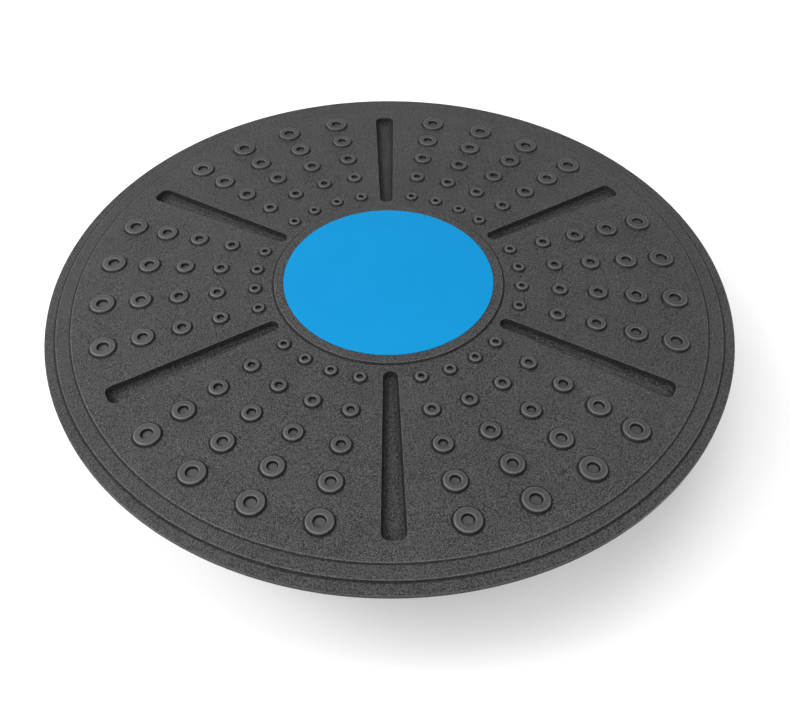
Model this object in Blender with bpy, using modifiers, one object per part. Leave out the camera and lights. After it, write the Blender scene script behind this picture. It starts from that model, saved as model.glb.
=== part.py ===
"""Round balance board: a crowned, ribbed deck with annular grip nubs, a centre inlay,
a hollow rocker dome screwed on underneath, and a soft grip pad on the dome."""
import math

import bmesh
import bpy
from mathutils import Matrix, Vector

# Driving dimensions, in metres. z = 0 is the floor, and the axis of the board is +Z.
OVERALL_HEIGHT = 0.0750         # floor to the top of the inlay
DECK_RADIUS = 0.1800            # outer edge of the deck
RIM_THICKNESS = 0.0037
RIM_CHAMFER = 0.0010
SKIN_THICKNESS = 0.0035
CROWN_HEIGHT = 0.0050           # plateau above the rim's top edge

OUTER_TERRACE_WIDTH = 0.0053    # from the deck's edge to the first step up
RING_TERRACE_WIDTH = 0.0078     # from the first step to the second
OUTER_STEP = 0.0008
INNER_STEP = 0.0006
STEP_RUN = 0.0004               # how far each step leans outwards
PLATEAU_STEP = 0.0009

INLAY_RADIUS = 0.0560
PLATEAU_BORDER = 0.0055         # inlay's edge to the plateau's edge
INLAY_THICKNESS = 0.0015
INLAY_PROUD = 0.0002
INLAY_CHAMFER = 0.0002

SECTOR_COUNT = 6                # one groove, one screw and one set of nubs in each
GROOVE_INSET = 0.0040           # plateau's edge to the groove's inner end
GROOVE_MARGIN = 0.0104          # groove's outer end to the edge of the field
GROOVE_INNER_WIDTH = 0.0072
GROOVE_OUTER_WIDTH = 0.0111
GROOVE_DEPTH = 0.0045
GROOVE_DRAFT = 0.0005           # how far each side leans in on its way down
GROOVE_CURVE = 0.0014           # round between the sides and the floor
GROOVE_WALL = 0.0028

NUB_FIRST_INSET = 0.0095        # plateau's edge to the first ring of nubs
NUB_LAST_INSET = 0.0150         # last ring of nubs to the edge of the field, at least
NUB_PITCH = 0.0200              # from ring to ring
NUB_STEP_ANGLE = 12.0           # degrees between a groove and its nubs, and between nubs
NUB_FIRST_DIAMETER = 0.0074
NUB_GROWTH = 0.081              # growth in diameter for each unit of radius
NUB_FIRST_HOLE = 0.0026         # hole's diameter, first ring
NUB_HOLE_GROWTH = 0.0425
NUB_HEIGHT = 0.0014
NUB_DRAFT = 0.0006
NUB_FLOOR_RISE = 0.0001         # bottom of a nub's hole, above the field

RIB_THICKNESS = 0.0022
RIBS_PER_SECTOR = 3
RIM_CLEARANCE = 0.0005          # how far the ribs' outer ends stay above the rim's underside
OUTER_RING_COUNT = 1
SOCKET_WALL = 0.0025
SOCKET_DEPTH = 0.0030           # how far the socket's wall drops below the seat
HUB_RADIUS = 0.0100

DOME_RADIUS = 0.0850            # outer sphere, pad included
FOOT_RADIUS = 0.0180            # flat that the board rests on
SEAT_DROP = 0.0070              # deck's underside at the centre to the dome's seat
DOME_WALL = 0.0030
FLANGE_WIDTH = 0.0150
FLANGE_THICKNESS = 0.0040
DOME_RIB_THICKNESS = 0.0025
DOME_RIB_SETBACK = 0.0005       # dome's ribs stop this far below the flange's top
DOME_RING_RADIUS = 0.0450

PAD_THICKNESS = 0.0025
PAD_HEIGHT = 0.0200             # floor to the pad's upper edge
PAD_GROOVES = 3
PAD_GROOVE_WIDTH = 0.0030
PAD_GROOVE_DEPTH = 0.0010
PEG_RADIUS = 0.0045
PEG_HEAD_RADIUS = 0.0070
PEG_HEAD_HEIGHT = 0.0030
POST_WALL = 0.0025
POST_CLEARANCE = 0.0015         # peg's head to the post round it

SCREW_RADIUS = 0.0020
SCREW_HEAD_RADIUS = 0.0040
SCREW_HEAD_HEIGHT = 0.0025
SCREW_HEAD_CHAMFER = 0.0012
SCREW_LENGTH = 0.0120           # under the head
SCREW_POINT = 0.0020
SCREW_TIP_RADIUS = 0.0007
SCREW_SETBACK = 0.0075          # screw's axis in from the flange's edge
RECESS_WIDTH = 0.0009
RECESS_SPAN = 0.0040
RECESS_DEPTH = 0.0012
BOSS_WALL = 0.0030

GAP = 0.0003                    # between neighbours that rest on or fit round each other
SOCKET_CLEARANCE = 0.0004       # flange's edge to the socket's wall
OVERLAP = 0.0010                # how deep a joined feature is sunk into its host

DECK_SEGMENTS = 48
DOME_SEGMENTS = 36
SMALL_SEGMENTS = 10
BOSS_SEGMENTS = 8
SMALL_NUB_SEGMENTS = (6, 4)     # round the nub, round its hole
NUB_SEGMENTS = (8, 5)
SMALL_NUB_RINGS = 2
GROOVE_END_SEGMENTS = 6
GROOVE_BACK_SEGMENTS = 4
SHELL_STEPS = (5, 3, 7)         # along the sphere above the pad, under the pad, and inside
PAD_STEPS = 5
SHARP_ANGLE = 30.0              # degrees

# Levels and radii of the deck, worked out from the sizes above.
PLATEAU_RADIUS = INLAY_RADIUS + PLATEAU_BORDER
PLATEAU_Z = OVERALL_HEIGHT - INLAY_PROUD
RIM_TOP_Z = PLATEAU_Z - CROWN_HEIGHT
RIM_BOTTOM_Z = RIM_TOP_Z - RIM_THICKNESS
RECESS_Z = OVERALL_HEIGHT - INLAY_THICKNESS - GAP
RING_TERRACE_Z = RIM_TOP_Z + OUTER_STEP
FIELD_OUTER_Z = RING_TERRACE_Z + INNER_STEP
FIELD_INNER_Z = PLATEAU_Z - PLATEAU_STEP
RING_TERRACE_RADIUS = DECK_RADIUS - OUTER_TERRACE_WIDTH
FIELD_RADIUS = RING_TERRACE_RADIUS - RING_TERRACE_WIDTH
UNDERSIDE_Z = RECESS_Z - SKIN_THICKNESS

# Levels and radii of the dome.
SPHERE_Z = math.sqrt(DOME_RADIUS ** 2 - FOOT_RADIUS ** 2)
SEAT_Z = UNDERSIDE_Z - SEAT_DROP
FLANGE_TOP_Z = SEAT_Z - GAP
FLANGE_BOTTOM_Z = FLANGE_TOP_Z - FLANGE_THICKNESS
SHELL_RADIUS = DOME_RADIUS - PAD_THICKNESS - GAP
INNER_RADIUS = SHELL_RADIUS - DOME_WALL
SHELL_FLAT_Z = PAD_THICKNESS + GAP
INNER_FLAT_Z = SHELL_FLAT_Z + DOME_WALL
FLANGE_ROOT = math.sqrt(DOME_RADIUS ** 2 - (SPHERE_Z - FLANGE_BOTTOM_Z) ** 2)
FLANGE_RADIUS = FLANGE_ROOT + FLANGE_WIDTH
SOCKET_RADIUS = FLANGE_RADIUS + SOCKET_CLEARANCE
SCREW_CIRCLE = FLANGE_RADIUS - SCREW_SETBACK
SCREW_HOLE_RADIUS = SCREW_RADIUS + GAP
SCREW_SEAT_Z = FLANGE_BOTTOM_Z - GAP
SCREW_TIP_Z = SCREW_SEAT_Z + SCREW_LENGTH
POST_RADIUS = PEG_HEAD_RADIUS + POST_CLEARANCE

# Where the grooves and nubs lie.
SECTOR = 2 * math.pi / SECTOR_COUNT
GROOVE_START = PLATEAU_RADIUS + GROOVE_INSET
GROOVE_END = FIELD_RADIUS - GROOVE_MARGIN
NUB_FIRST_RADIUS = PLATEAU_RADIUS + NUB_FIRST_INSET
NUB_SPAN = FIELD_RADIUS - NUB_LAST_INSET - NUB_FIRST_RADIUS
NUB_RINGS = int(NUB_SPAN / NUB_PITCH) + 1


def clear_scene():
    for obj in list(bpy.data.objects):
        bpy.data.objects.remove(obj, do_unlink=True)


def collection(name):
    group = bpy.data.collections.new(name)
    bpy.context.scene.collection.children.link(group)
    return group


def material(name, colour, roughness, metallic=0.0):
    made = bpy.data.materials.new(name)
    made.use_nodes = True
    shader = made.node_tree.nodes["Principled BSDF"]
    shader.inputs["Base Color"].default_value = (*colour, 1.0)
    shader.inputs["Roughness"].default_value = roughness
    shader.inputs["Metallic"].default_value = metallic
    return made


def add_object(name, mesh, group):
    obj = bpy.data.objects.new(name, mesh)
    group.objects.link(obj)
    return obj


def turned(name, profile, segments, group, closed=False):
    """Turn an (r, z) profile, which runs down its outer side, about the Z axis."""
    count = len(profile)
    edges = [(i, i + 1) for i in range(count - 1)]
    if closed:
        edges.append((count - 1, 0))
    mesh = bpy.data.meshes.new(name)
    mesh.from_pydata([(r, 0.0, z) for r, z in profile], edges, [])
    obj = add_object(name, mesh, group)
    screw = obj.modifiers.new("turn", "SCREW")
    screw.axis = "Z"
    screw.steps = segments
    screw.render_steps = segments
    screw.use_merge_vertices = True
    screw.merge_threshold = 0.00001
    return obj


def plate(name, outline, thickness, angle, group):
    """A flat (r, z) outline standing on a radius, with its thickness shared by both sides."""
    mesh = bpy.data.meshes.new(name)
    mesh.from_pydata([(r, 0.0, z) for r, z in outline], [], [range(len(outline))])
    obj = add_object(name, mesh, group)
    obj.rotation_euler.z = angle
    solid = obj.modifiers.new("thickness", "SOLIDIFY")
    solid.thickness = thickness
    solid.offset = 0.0
    return obj


def cylinder(name, radius, bottom, top, centre, segments, group):
    mesh = bpy.data.meshes.new(name)
    bm = bmesh.new()
    bmesh.ops.create_cone(bm, cap_ends=True, segments=segments, radius1=radius, radius2=radius,
                          depth=top - bottom)
    bm.to_mesh(mesh)
    bm.free()
    obj = add_object(name, mesh, group)
    obj.location = (centre[0], centre[1], (bottom + top) / 2)
    return obj


def loft(name, sections, angle, group):
    """Join equal outlines, listed from top to bottom, with side faces and two caps."""
    bm = bmesh.new()
    rings = [[bm.verts.new(point) for point in section] for section in sections]
    count = len(rings[0])
    for upper, lower in zip(rings, rings[1:]):
        for i in range(count):
            j = (i + 1) % count
            bm.faces.new((upper[i], upper[j], lower[j], lower[i]))
    bm.faces.new(rings[0])
    bm.faces.new(rings[-1])
    bmesh.ops.recalc_face_normals(bm, faces=bm.faces)
    mesh = bpy.data.meshes.new(name)
    bm.to_mesh(mesh)
    bm.free()
    obj = add_object(name, mesh, group)
    obj.rotation_euler.z = angle
    return obj


def boolean(obj, operation, group):
    cut = obj.modifiers.new(operation.lower(), "BOOLEAN")
    cut.operation = operation
    cut.solver = "EXACT"
    cut.operand_type = "COLLECTION"
    cut.collection = group


def hide_tools(group):
    for obj in group.objects:
        obj.hide_render = True
        obj.display_type = "WIRE"


def freeze(obj, finish):
    """Apply the modifiers, shade the round faces smooth and give the piece its material."""
    bpy.context.view_layer.update()
    evaluated = obj.evaluated_get(bpy.context.evaluated_depsgraph_get())
    mesh = bpy.data.meshes.new_from_object(evaluated)
    mesh.name = obj.name
    obj.modifiers.clear()
    obj.data = mesh
    mesh.shade_smooth()
    mesh.set_sharp_from_angle(angle=math.radians(SHARP_ANGLE))
    mesh.materials.clear()
    mesh.materials.append(finish)


def at_angle(radius, angle):
    return (radius * math.cos(angle), radius * math.sin(angle))


def arc(radius, centre_z, start, end, steps):
    """Points of a circle about (0, centre_z), from one height to another, both included."""
    first = math.asin((start - centre_z) / radius)
    last = math.asin((end - centre_z) / radius)
    angles = [first + (last - first) * i / steps for i in range(steps + 1)]
    return [(radius * math.cos(a), centre_z + radius * math.sin(a)) for a in angles]


def field_z(radius):
    """Height of the crowned field, which falls evenly from the plateau to the terraces."""
    share = (radius - PLATEAU_RADIUS) / (FIELD_RADIUS - PLATEAU_RADIUS)
    return FIELD_INNER_Z + share * (FIELD_OUTER_Z - FIELD_INNER_Z)


def rib_bottom_z(radius):
    """Lower edge of the deck's ribs: level over the seat, then rising towards the rim."""
    if radius <= SOCKET_RADIUS:
        return SEAT_Z
    low = SEAT_Z - SOCKET_DEPTH
    high = RIM_BOTTOM_Z + RIM_CLEARANCE
    share = (radius - SOCKET_RADIUS) / (FIELD_RADIUS - SOCKET_RADIUS)
    return low + share * (high - low)


def skin_under_z(radius):
    """Underside of the deck's skin: level inside, then following the field down."""
    return min(UNDERSIDE_Z, field_z(radius) - SKIN_THICKNESS)


def deck_profile():
    top = [
        (0.0, RECESS_Z),
        (INLAY_RADIUS + GAP, RECESS_Z),
        (INLAY_RADIUS + GAP, PLATEAU_Z),
        (PLATEAU_RADIUS - STEP_RUN, PLATEAU_Z),
        (PLATEAU_RADIUS, FIELD_INNER_Z),
        (FIELD_RADIUS - STEP_RUN, FIELD_OUTER_Z),
        (FIELD_RADIUS, RING_TERRACE_Z),
        (RING_TERRACE_RADIUS - STEP_RUN, RING_TERRACE_Z),
        (RING_TERRACE_RADIUS, RIM_TOP_Z),
    ]
    rim = [
        (DECK_RADIUS - RIM_CHAMFER, RIM_TOP_Z),
        (DECK_RADIUS, RIM_TOP_Z - RIM_CHAMFER),
        (DECK_RADIUS, RIM_BOTTOM_Z + RIM_CHAMFER),
        (DECK_RADIUS - RIM_CHAMFER, RIM_BOTTOM_Z),
    ]
    under = [
        (RING_TERRACE_RADIUS, RIM_BOTTOM_Z),
        (FIELD_RADIUS, skin_under_z(FIELD_RADIUS)),
        (SOCKET_RADIUS + SOCKET_WALL / 2, skin_under_z(SOCKET_RADIUS + SOCKET_WALL / 2)),
        (0.0, UNDERSIDE_Z),
    ]
    return top + rim + under


def ring_wall(name, radius, thickness, bottom, group):
    """Round wall about the board's axis, sunk into the deck's skin above it."""
    inner = radius - thickness / 2
    outer = radius + thickness / 2
    top = skin_under_z(radius) + OVERLAP
    profile = [(inner, top), (outer, top), (outer, bottom), (inner, bottom)]
    return turned(name, profile, DECK_SEGMENTS, group, closed=True)


def groove_outline(widening, drop, steps):
    """Tapered slot along +X, at a depth below the crowned field.

    It is the hull of three equal circles: one at the inner end and two at the outer end."""
    corner = GROOVE_INNER_WIDTH / 2
    spread = (GROOVE_OUTER_WIDTH - GROOVE_INNER_WIDTH) / 2
    inner_x = GROOVE_START + corner
    outer_x = GROOVE_END - corner
    square_on = math.pi / 2 + math.atan2(spread, outer_x - inner_x)
    points = []
    for x, y, first, last, count in (
        (inner_x, 0.0, square_on, 2 * math.pi - square_on, steps),
        (outer_x, -spread, -square_on, 0.0, steps // 2),
        (outer_x, spread, 0.0, square_on, steps // 2),
    ):
        for i in range(count + 1):
            turn = first + (last - first) * i / count
            points.append((x + (corner + widening) * math.cos(turn),
                           y + (corner + widening) * math.sin(turn)))
    return [Vector((x, y, field_z(x) - drop)) for x, y in points]


def groove_sections():
    """A groove's hollow, from above the field down to its floor."""
    steps = GROOVE_END_SEGMENTS
    slope = GROOVE_DRAFT / (GROOVE_DEPTH - GROOVE_CURVE)
    return [
        groove_outline(slope * OVERLAP, -OVERLAP, steps),
        groove_outline(-GROOVE_DRAFT, GROOVE_DEPTH - GROOVE_CURVE, steps),
        groove_outline(-GROOVE_DRAFT - GROOVE_CURVE, GROOVE_DEPTH, steps),
    ]


def groove_back_sections():
    """The bulge that walls a groove in on the deck's underside."""
    steps = GROOVE_BACK_SEGMENTS
    return [
        groove_outline(GROOVE_WALL, SKIN_THICKNESS / 2, steps),
        groove_outline(GROOVE_WALL / 2, GROOVE_DEPTH + GROOVE_WALL, steps),
    ]


def deck_rib_outline(start, end):
    """Radial rib from one radius to another, sunk into the skin above it."""
    tops = [(end, skin_under_z(end) + OVERLAP), (start, skin_under_z(start) + OVERLAP)]
    bottoms = [(start, rib_bottom_z(start)), (end, rib_bottom_z(end))]
    return bottoms + tops


def add_deck_ribs(group):
    ring_wall("socket_ring", SOCKET_RADIUS + SOCKET_WALL / 2, SOCKET_WALL,
              SEAT_Z - SOCKET_DEPTH, group)
    ring_wall("inner_ring", PLATEAU_RADIUS, RIB_THICKNESS, SEAT_Z, group)
    ring_start = SOCKET_RADIUS + SOCKET_WALL
    pitch = (FIELD_RADIUS - ring_start) / (OUTER_RING_COUNT + 1)
    for i in range(1, OUTER_RING_COUNT + 1):
        radius = ring_start + i * pitch
        ring_wall(f"outer_ring_{i}", radius, RIB_THICKNESS, rib_bottom_z(radius), group)
    cylinder("hub", HUB_RADIUS, SEAT_Z, UNDERSIDE_Z + OVERLAP, (0.0, 0.0), SMALL_SEGMENTS, group)
    rib_angle = SECTOR / (RIBS_PER_SECTOR + 1)
    outer_start = SOCKET_RADIUS + SOCKET_WALL / 2
    outer_end = FIELD_RADIUS
    for i in range(SECTOR_COUNT * (RIBS_PER_SECTOR + 1)):
        angle = i * rib_angle
        place = i % (RIBS_PER_SECTOR + 1)
        on_screw = place == 0
        on_groove = place * 2 == RIBS_PER_SECTOR + 1
        if on_screw or on_groove:
            inner_end = SOCKET_RADIUS if on_screw else PLATEAU_RADIUS
            inner = deck_rib_outline(HUB_RADIUS / 2, inner_end)
            plate(f"inner_rib_{i}", inner, RIB_THICKNESS, angle, group)
        if not on_groove:
            outer = deck_rib_outline(outer_start, outer_end)
            plate(f"outer_rib_{i}", outer, RIB_THICKNESS, angle, group)


def add_bosses(ribs, cutters):
    for i in range(SECTOR_COUNT):
        centre = at_angle(SCREW_CIRCLE, i * SECTOR)
        cylinder(f"boss_{i}", SCREW_HOLE_RADIUS + BOSS_WALL, SEAT_Z, UNDERSIDE_Z + OVERLAP,
                 centre, BOSS_SEGMENTS, ribs)
        cylinder(f"pilot_hole_{i}", SCREW_HOLE_RADIUS, SEAT_Z - OVERLAP, SCREW_TIP_Z + GAP,
                 centre, BOSS_SEGMENTS, cutters)


def nub_places():
    """Radius, angle and ring number of every nub: four on each ring of each sector."""
    for ring in range(NUB_RINGS):
        for sector in range(SECTOR_COUNT):
            for step in (-2, -1, 1, 2):
                angle = (sector + 0.5) * SECTOR + step * math.radians(NUB_STEP_ANGLE)
                yield NUB_FIRST_RADIUS + ring * NUB_PITCH, angle, ring


def nub_cone(bm, radius, angle, segments, bottom, top):
    """Upright cone; its bottom and top are each a pair of radius and height."""
    middle = (bottom[1] + top[1]) / 2
    place = Matrix.Rotation(angle, 4, "Z") @ Matrix.Translation((radius, 0.0, middle))
    bmesh.ops.create_cone(bm, cap_ends=True, segments=segments, radius1=bottom[0],
                          radius2=top[0], depth=top[1] - bottom[1], matrix=place)


def add_nubs(joined, cutters):
    """One mesh of tapered nubs, sunk into the deck, and one of their holes."""
    nubs = bmesh.new()
    holes = bmesh.new()
    for radius, angle, ring in nub_places():
        round_count, hole_count = SMALL_NUB_SEGMENTS if ring < SMALL_NUB_RINGS else NUB_SEGMENTS
        growth = radius - NUB_FIRST_RADIUS
        top_radius = (NUB_FIRST_DIAMETER + NUB_GROWTH * growth) / 2 - NUB_DRAFT
        root_radius = top_radius + NUB_DRAFT * (1 + OVERLAP / NUB_HEIGHT)
        hole_radius = (NUB_FIRST_HOLE + NUB_HOLE_GROWTH * growth) / 2
        base = field_z(radius)
        top = base + NUB_HEIGHT
        floor = base + NUB_FLOOR_RISE
        nub_cone(nubs, radius, angle, round_count, (root_radius, base - OVERLAP), (top_radius, top))
        nub_cone(holes, radius, angle, hole_count, (hole_radius, floor),
                 (hole_radius, top + OVERLAP))
    for name, bm, group in (("nubs", nubs, joined), ("nub_holes", holes, cutters)):
        mesh = bpy.data.meshes.new(name)
        bm.to_mesh(mesh)
        bm.free()
        add_object(name, mesh, group)


def make_deck(board, finish):
    ribs = collection("deck_joined_ribs")
    cutters = collection("deck_cutters")
    nubs = collection("deck_joined_nubs")
    holes = collection("deck_nub_holes")
    deck = turned("deck", deck_profile(), DECK_SEGMENTS, board)
    add_deck_ribs(ribs)
    add_bosses(ribs, cutters)
    for i in range(SECTOR_COUNT):
        angle = (i + 0.5) * SECTOR
        loft(f"groove_back_{i}", groove_back_sections(), angle, ribs)
        loft(f"groove_{i}", groove_sections(), angle, cutters)
    add_nubs(nubs, holes)
    boolean(deck, "UNION", ribs)
    boolean(deck, "DIFFERENCE", cutters)
    boolean(deck, "UNION", nubs)
    boolean(deck, "DIFFERENCE", holes)
    for group in (ribs, cutters, nubs, holes):
        hide_tools(group)
    freeze(deck, finish)


def make_inlay(board, finish):
    bottom = OVERALL_HEIGHT - INLAY_THICKNESS
    profile = [
        (0.0, OVERALL_HEIGHT),
        (INLAY_RADIUS - INLAY_CHAMFER, OVERALL_HEIGHT),
        (INLAY_RADIUS, OVERALL_HEIGHT - INLAY_CHAMFER),
        (INLAY_RADIUS, bottom),
        (0.0, bottom),
    ]
    freeze(turned("centre_inlay", profile, DECK_SEGMENTS, board), finish)


def dome_profile():
    """Closed section: flange, outer sphere, step for the pad, flat floor, inner sphere."""
    step_z = PAD_HEIGHT + GAP
    hole = PEG_RADIUS + GAP
    outer_steps, shell_steps, inner_steps = SHELL_STEPS
    outer = arc(DOME_RADIUS, SPHERE_Z, FLANGE_BOTTOM_Z, step_z, outer_steps)
    shell = arc(SHELL_RADIUS, SPHERE_Z, step_z, SHELL_FLAT_Z, shell_steps)
    inner = arc(INNER_RADIUS, SPHERE_Z, INNER_FLAT_Z, FLANGE_TOP_Z, inner_steps)
    flange = [(FLANGE_RADIUS, FLANGE_TOP_Z), (FLANGE_RADIUS, FLANGE_BOTTOM_Z)]
    floor = [(hole, SHELL_FLAT_Z), (hole, INNER_FLAT_Z)]
    return flange + outer + shell + floor + inner


def inner_sphere_z(radius):
    return SPHERE_Z - math.sqrt(INNER_RADIUS ** 2 - radius ** 2)


def dome_rib_outline(start):
    """Web from a radius out to the shell, sunk into the shell along the inner sphere."""
    top = FLANGE_TOP_Z - DOME_RIB_SETBACK
    lowest = max(INNER_FLAT_Z, inner_sphere_z(start)) - OVERLAP
    curve = arc(INNER_RADIUS + OVERLAP, SPHERE_Z, lowest, top, SHELL_STEPS[-1])
    return [(start, top), (start, lowest)] + curve


def make_dome(board, finish):
    ribs = collection("dome_joined_ribs")
    cutters = collection("dome_cutters")
    dome = turned("rocker_dome", dome_profile(), DOME_SEGMENTS, board, closed=True)
    top = FLANGE_TOP_Z - DOME_RIB_SETBACK
    for name, inner, wall in (
        ("post", POST_RADIUS, POST_WALL),
        ("ring", DOME_RING_RADIUS, DOME_RIB_THICKNESS),
    ):
        outer = inner + wall
        foot = inner_sphere_z(inner) - OVERLAP if inner > FOOT_RADIUS else INNER_FLAT_Z - OVERLAP
        profile = [(inner, top), (outer, top), (outer, foot), (inner, foot)]
        turned(name, profile, DOME_SEGMENTS // 2, ribs, closed=True)
    for i in range(SECTOR_COUNT):
        for start, turn in (
            (POST_RADIUS + POST_WALL / 2, (i + 0.5) * SECTOR),
            (DOME_RING_RADIUS + DOME_RIB_THICKNESS / 2, i * SECTOR),
        ):
            plate(f"web_{i}", dome_rib_outline(start), DOME_RIB_THICKNESS, turn, ribs)
        cylinder(f"screw_hole_{i}", SCREW_HOLE_RADIUS, FLANGE_BOTTOM_Z - OVERLAP,
                 FLANGE_TOP_Z + OVERLAP, at_angle(SCREW_CIRCLE, i * SECTOR), SMALL_SEGMENTS,
                 cutters)
    boolean(dome, "UNION", ribs)
    boolean(dome, "DIFFERENCE", cutters)
    for group in (ribs, cutters):
        hide_tools(group)
    freeze(dome, finish)


def pad_outer_curve():
    """The pad's outer sphere from its edge down to the foot, with evenly spaced V grooves."""
    top = math.acos((SPHERE_Z - PAD_HEIGHT) / DOME_RADIUS)
    bottom = math.asin(FOOT_RADIUS / DOME_RADIUS)
    half = PAD_GROOVE_WIDTH / 2 / DOME_RADIUS
    angles = [(top, 0.0)]
    for i in range(1, PAD_GROOVES + 1):
        middle = top + (bottom - top) * i / (PAD_GROOVES + 1)
        angles += [(middle + half, 0.0), (middle, PAD_GROOVE_DEPTH), (middle - half, 0.0)]
    angles.append((bottom, 0.0))
    points = []
    for angle, depth in angles:
        radius = DOME_RADIUS - depth
        points.append((radius * math.sin(angle), SPHERE_Z - radius * math.cos(angle)))
    return points


def make_pad(board, finish):
    """Soft cap on the dome, held by a central peg that snaps through the dome's floor."""
    inner_sphere = DOME_RADIUS - PAD_THICKNESS
    head_z = INNER_FLAT_Z + GAP
    peg = [
        (PEG_RADIUS, PAD_THICKNESS),
        (PEG_RADIUS, head_z),
        (PEG_HEAD_RADIUS, head_z),
        (PEG_RADIUS, head_z + PEG_HEAD_HEIGHT),
        (0.0, head_z + PEG_HEAD_HEIGHT),
    ]
    inner = arc(inner_sphere, SPHERE_Z, PAD_THICKNESS, PAD_HEIGHT, PAD_STEPS)
    profile = peg[::-1] + inner + pad_outer_curve() + [(0.0, 0.0)]
    freeze(turned("dome_grip_pad", profile, DOME_SEGMENTS, board), finish)


def screw_profile():
    """Pan head at the bottom, plain shank, and a blunt point at the top."""
    head_low = SCREW_SEAT_Z - SCREW_HEAD_HEIGHT
    return [
        (0.0, SCREW_TIP_Z),
        (SCREW_TIP_RADIUS, SCREW_TIP_Z),
        (SCREW_RADIUS, SCREW_TIP_Z - SCREW_POINT),
        (SCREW_RADIUS, SCREW_SEAT_Z),
        (SCREW_HEAD_RADIUS, SCREW_SEAT_Z),
        (SCREW_HEAD_RADIUS, head_low + SCREW_HEAD_CHAMFER),
        (SCREW_HEAD_RADIUS - SCREW_HEAD_CHAMFER, head_low),
        (0.0, head_low),
    ]


def make_screws(board, finish):
    cutters = collection("screw_cutters")
    low = SCREW_SEAT_Z - SCREW_HEAD_HEIGHT
    for i, size in enumerate(((RECESS_SPAN, RECESS_WIDTH), (RECESS_WIDTH, RECESS_SPAN))):
        mesh = bpy.data.meshes.new(f"recess_{i}")
        bm = bmesh.new()
        bmesh.ops.create_cube(bm, size=1.0)
        bmesh.ops.scale(bm, vec=(size[0], size[1], 2 * RECESS_DEPTH), verts=bm.verts)
        bm.to_mesh(mesh)
        bm.free()
        add_object(f"recess_{i}", mesh, cutters).location.z = low
    pattern = turned("dome_screw_1", screw_profile(), SMALL_SEGMENTS, board)
    boolean(pattern, "DIFFERENCE", cutters)
    hide_tools(cutters)
    freeze(pattern, finish)
    for i in range(SECTOR_COUNT):
        screw = pattern if i == 0 else add_object(f"dome_screw_{i + 1}", pattern.data, board)
        x, y = at_angle(SCREW_CIRCLE, i * SECTOR)
        screw.location = (x, y, 0.0)


def main():
    clear_scene()
    board = collection("balance_board")
    deck_plastic = material("deck_plastic", (0.043, 0.043, 0.045), 0.62)
    inlay_foil = material("inlay_blue", (0.013, 0.328, 0.723), 0.45)
    dome_plastic = material("dome_plastic", (0.030, 0.030, 0.032), 0.50)
    pad_rubber = material("pad_rubber", (0.020, 0.020, 0.021), 0.80)
    screw_steel = material("screw_steel", (0.55, 0.55, 0.56), 0.35, 1.0)
    make_deck(board, deck_plastic)
    make_inlay(board, inlay_foil)
    make_dome(board, dome_plastic)
    make_pad(board, pad_rubber)
    make_screws(board, screw_steel)


main()
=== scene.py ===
"""Looks of a round balance board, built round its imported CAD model.

The deck, its inlay, the rocker dome, the grip pad and the screws are each remade as one closed
mesh inside the CAD node's box, with eased edges, fine round shapes and moulded detail. The holes
in the nubs are deeper than in the CAD model."""
import math

import bmesh
import bpy
from mathutils import Matrix, Vector
from mathutils.geometry import delaunay_2d_cdt


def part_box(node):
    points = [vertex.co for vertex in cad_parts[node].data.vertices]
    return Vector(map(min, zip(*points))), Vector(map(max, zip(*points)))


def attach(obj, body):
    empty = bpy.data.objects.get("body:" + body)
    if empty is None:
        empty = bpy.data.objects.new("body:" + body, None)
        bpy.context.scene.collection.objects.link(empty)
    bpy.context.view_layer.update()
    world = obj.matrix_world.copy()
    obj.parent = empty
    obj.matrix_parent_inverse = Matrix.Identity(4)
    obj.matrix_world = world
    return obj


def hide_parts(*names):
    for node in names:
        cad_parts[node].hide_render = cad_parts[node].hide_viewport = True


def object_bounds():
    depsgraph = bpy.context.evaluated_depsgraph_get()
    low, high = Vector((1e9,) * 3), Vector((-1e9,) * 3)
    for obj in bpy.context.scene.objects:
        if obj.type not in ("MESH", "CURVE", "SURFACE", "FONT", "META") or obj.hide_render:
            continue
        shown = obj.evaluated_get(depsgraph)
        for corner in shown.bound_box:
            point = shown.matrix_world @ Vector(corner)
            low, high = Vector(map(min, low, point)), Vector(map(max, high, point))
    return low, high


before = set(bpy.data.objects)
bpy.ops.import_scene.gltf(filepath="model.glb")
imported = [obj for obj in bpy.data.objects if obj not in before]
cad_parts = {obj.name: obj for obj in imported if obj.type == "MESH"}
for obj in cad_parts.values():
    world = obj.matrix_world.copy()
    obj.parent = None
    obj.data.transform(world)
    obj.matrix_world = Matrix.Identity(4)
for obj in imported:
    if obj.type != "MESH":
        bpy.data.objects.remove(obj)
cad_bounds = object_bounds()

MM = 0.001                      # sizes below are in millimetres, unless they say metres
WELD = 0.000002                 # metres
PLAN_TOLERANCE = 1e-5           # between points of a relief


def box_mm(node):
    low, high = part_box(node)
    return low / MM, high / MM


deck_low, deck_high = box_mm("deck")
inlay_low, inlay_high = box_mm("centre_inlay")
dome_low, dome_high = box_mm("rocker_dome")
pad_low, pad_high = box_mm("dome_grip_pad")
screw_low, screw_high = box_mm("dome_screw_1")

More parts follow.
